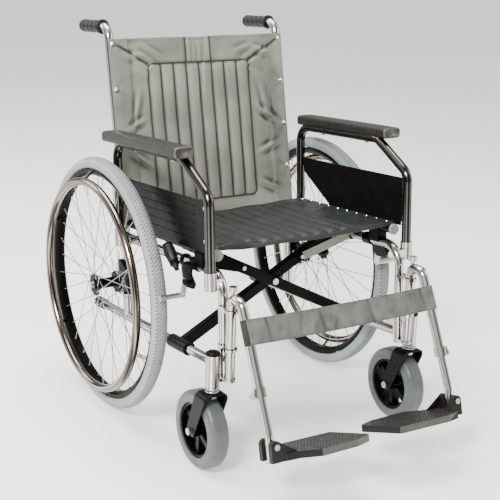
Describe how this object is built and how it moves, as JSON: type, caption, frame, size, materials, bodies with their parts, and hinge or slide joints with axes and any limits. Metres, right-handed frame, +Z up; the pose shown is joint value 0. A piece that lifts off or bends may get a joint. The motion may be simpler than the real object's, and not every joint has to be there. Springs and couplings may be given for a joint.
{
  "type": "wheelchair",
  "caption": "Folding manual wheelchair: two tubular side frames joined by a folding cross, with large self-propelling rear wheels, swivel castors and swing-away footrests.",
  "frame": {"origin": "on the floor, under the middle of the bounding box", "axes": "+Z up, +Y towards the back of the chair (the user faces -Y), +X towards the user's left"},
  "size_m": [0.7138, 1.0082, 0.9116],
  "materials": {
    "chrome_tube": "polished",
    "black_paint": "satin black",
    "steel": "zinc",
    "black_plastic": "matt",
    "grip_rubber": "ribbed",
    "grey_tyre": "grey non-marking",
    "wheel_black": "black",
    "spoke_steel": "zinc",
    "handrim_metal": "polished",
    "grey_castor": "grey, satin",
    "black_plastic_gloss": "gloss",
    "dark_grey_plastic": "knurled top",
    "dark_tube": "black chrome",
    "pad_vinyl": "charcoal vinyl",
    "guard_plastic": "glossy black",
    "rail_paint": "dark",
    "screw_chrome": "dome heads",
    "seat_vinyl": "grey vinyl, sewn channels",
    "back_vinyl": "grey vinyl, sewn channels",
    "strap_vinyl": "grey strap"
  },
  "bodies": {
    "right_frame": {"right_side_frame": "chrome_tube", "right_axle_bracket": "black_paint", "right_wheel_axle": "steel", "right_seat_saddles": "black_plastic", "right_push_grip": "grip_rubber", "right_tipping_cap": "grip_rubber", "right_brake_bracket": "black_paint", "back_upholstery": "back_vinyl"},
    "left_frame": {"left_side_frame": "chrome_tube", "left_axle_bracket": "black_paint", "left_wheel_axle": "steel", "left_seat_saddles": "black_plastic", "left_push_grip": "grip_rubber", "left_tipping_cap": "grip_rubber", "left_brake_bracket": "black_paint"},
    "cross_a": {"cross_tube_a": "black_paint", "left_seat_rail": "rail_paint", "left_seat_screws": "screw_chrome", "cross_pivot": "steel"},
    "cross_b": {"cross_tube_b": "black_paint", "right_seat_rail": "rail_paint", "right_seat_screws": "screw_chrome", "seat_upholstery": "seat_vinyl"},
    "right_wheel": {"right_tyre": "grey_tyre", "right_rim": "wheel_black", "right_spokes": "spoke_steel", "right_hub": "wheel_black", "right_handrim": "handrim_metal"},
    "right_castor": {"right_castor_fork": "black_paint", "right_castor_axle": "steel"},
    "right_castor_wheel": {"right_castor_tyre": "grey_castor", "right_castor_rim": "black_plastic_gloss"},
    "right_hanger_body": {"right_hanger": "chrome_tube", "right_footrest_stem": "chrome_tube", "calf_strap": "strap_vinyl"},
    "right_foot": {"right_footplate": "dark_grey_plastic"},
    "right_lock": {"right_brake_lever": "black_paint"},
    "right_shoe": {"right_brake_shoe": "steel"},
    "right_arm": {"right_arm_frame": "dark_tube", "right_arm_pad": "pad_vinyl", "right_side_guard": "guard_plastic"},
    "right_link": {"right_stay_link": "black_paint"},
    "left_wheel": {"left_tyre": "grey_tyre", "left_rim": "wheel_black", "left_spokes": "spoke_steel", "left_hub": "wheel_black", "left_handrim": "handrim_metal"},
    "left_castor": {"left_castor_fork": "black_paint", "left_castor_axle": "steel"},
    "left_castor_wheel": {"left_castor_tyre": "grey_castor", "left_castor_rim": "black_plastic_gloss"},
    "left_hanger_body": {"left_hanger": "chrome_tube", "left_footrest_stem": "chrome_tube"},
    "left_foot": {"left_footplate": "dark_grey_plastic"},
    "left_lock": {"left_brake_lever": "black_paint"},
    "left_shoe": {"left_brake_shoe": "steel"},
    "left_arm": {"left_arm_frame": "dark_tube", "left_arm_pad": "pad_vinyl", "left_side_guard": "guard_plastic"},
    "left_link": {"left_stay_link": "black_paint"}
  },
  "joints": [
    {"name": "fold", "type": "hinge", "parent": "right_frame", "child": "cross_a", "pos_m": [-0.237, -0.05409, 0.22193], "axis": [0, -0.9969, 0.0785], "range_deg": [0, 48.8], "deforming": ["seat_upholstery", "back_upholstery", "calf_strap"]},
    {"name": "cross_hinge", "type": "hinge", "parent": "cross_a", "child": "cross_b", "pos_m": [0, -0.05556, 0.34342], "axis": [0, -0.9969, 0.0785], "range_deg": [-97.6, 0]},
    {"name": "left_frame_hinge", "type": "hinge", "parent": "cross_b", "child": "left_frame", "pos_m": [0.237, -0.07502, 0.22358], "axis": [0, -0.9969, 0.0785], "range_deg": [0, 48.8]},
    {"name": "right_link_hinge", "type": "hinge", "parent": "right_frame", "child": "right_link", "pos_m": [-0.237, -0.05395, 0.42755], "axis": [0, -0.9969, 0.0785], "range_deg": [0, 89.8]},
    {"name": "right_wheel_spin", "type": "hinge", "parent": "right_frame", "child": "right_wheel", "pos_m": [-0.3104, 0.19913, 0.305], "axis": [1, 0, 0], "continuous": true},
    {"name": "right_castor_swivel", "type": "hinge", "parent": "right_frame", "child": "right_castor", "pos_m": [-0.27, -0.25487, 0.2], "axis": [0, 0, 1], "continuous": true},
    {"name": "right_castor_spin", "type": "hinge", "parent": "right_castor", "child": "right_castor_wheel", "pos_m": [-0.27, -0.21487, 0.088], "axis": [1, 0, 0], "continuous": true},
    {"name": "right_hanger_swing", "type": "hinge", "parent": "right_frame", "child": "right_hanger_body", "pos_m": [-0.24, -0.27587, 0.29], "axis": [0, 0, -1], "range_deg": [0, 90]},
    {"name": "right_footplate_flip", "type": "hinge", "parent": "right_hanger_body", "child": "right_foot", "pos_m": [-0.24, -0.43987, 0.138], "axis": [0, -0.9659, 0.2588], "range_deg": [0, 91.02]},
    {"name": "right_brake_lock", "type": "hinge", "parent": "right_frame", "child": "right_lock", "pos_m": [-0.274, -0.14287, 0.404], "axis": [1, 0, 0], "range_deg": [0, 50]},
    {"name": "right_brake_press", "type": "hinge", "parent": "right_frame", "child": "right_shoe", "pos_m": [-0.268, -0.12287, 0.4], "axis": [1, 0, 0], "range_deg": [0, 13]},
    {"name": "right_arm_lift", "type": "slide", "parent": "right_frame", "child": "right_arm", "axis": [0, 0.0785, 0.9969], "range_m": [0, 0.03]},
    {"name": "left_link_hinge", "type": "hinge", "parent": "left_frame", "child": "left_link", "pos_m": [0.237, -0.05395, 0.42755], "axis": [0, 0.9969, -0.0785], "range_deg": [0, 89.8]},
    {"name": "left_wheel_spin", "type": "hinge", "parent": "left_frame", "child": "left_wheel", "pos_m": [0.3104, 0.19913, 0.305], "axis": [1, 0, 0], "continuous": true},
    {"name": "left_castor_swivel", "type": "hinge", "parent": "left_frame", "child": "left_castor", "pos_m": [0.27, -0.25487, 0.2], "axis": [0, 0, 1], "continuous": true},
    {"name": "left_castor_spin", "type": "hinge", "parent": "left_castor", "child": "left_castor_wheel", "pos_m": [0.27, -0.21487, 0.088], "axis": [1, 0, 0], "continuous": true},
    {"name": "left_hanger_swing", "type": "hinge", "parent": "left_frame", "child": "left_hanger_body", "pos_m": [0.24, -0.27587, 0.29], "axis": [0, 0, 1], "range_deg": [0, 90]},
    {"name": "left_footplate_flip", "type": "hinge", "parent": "left_hanger_body", "child": "left_foot", "pos_m": [0.24, -0.43987, 0.138], "axis": [0, 0.9659, -0.2588], "range_deg": [0, 91.02]},
    {"name": "left_brake_lock", "type": "hinge", "parent": "left_frame", "child": "left_lock", "pos_m": [0.274, -0.14287, 0.404], "axis": [1, 0, 0], "range_deg": [0, 50]},
    {"name": "left_brake_press", "type": "hinge", "parent": "left_frame", "child": "left_shoe", "pos_m": [0.268, -0.12287, 0.4], "axis": [1, 0, 0], "range_deg": [0, 13]},
    {"name": "left_arm_lift", "type": "slide", "parent": "left_frame", "child": "left_arm", "axis": [0, 0.0785, 0.9969], "range_m": [0, 0.03]}
  ],
  "couplings": [
    {"joint": "cross_hinge", "follows": "fold", "ratio": -2},
    {"joint": "left_frame_hinge", "follows": "fold", "ratio": 1},
    {"joint": "right_link_hinge", "follows": "fold", "ratio": 1.83},
    {"joint": "right_footplate_flip", "follows": "fold", "ratio": 1.865},
    {"joint": "right_brake_press", "follows": "right_brake_lock", "ratio": 0.2},
    {"joint": "left_link_hinge", "follows": "fold", "ratio": 1.83},
    {"joint": "left_footplate_flip", "follows": "fold", "ratio": 1.865},
    {"joint": "left_brake_press", "follows": "left_brake_lock", "ratio": 0.2}
  ]
}
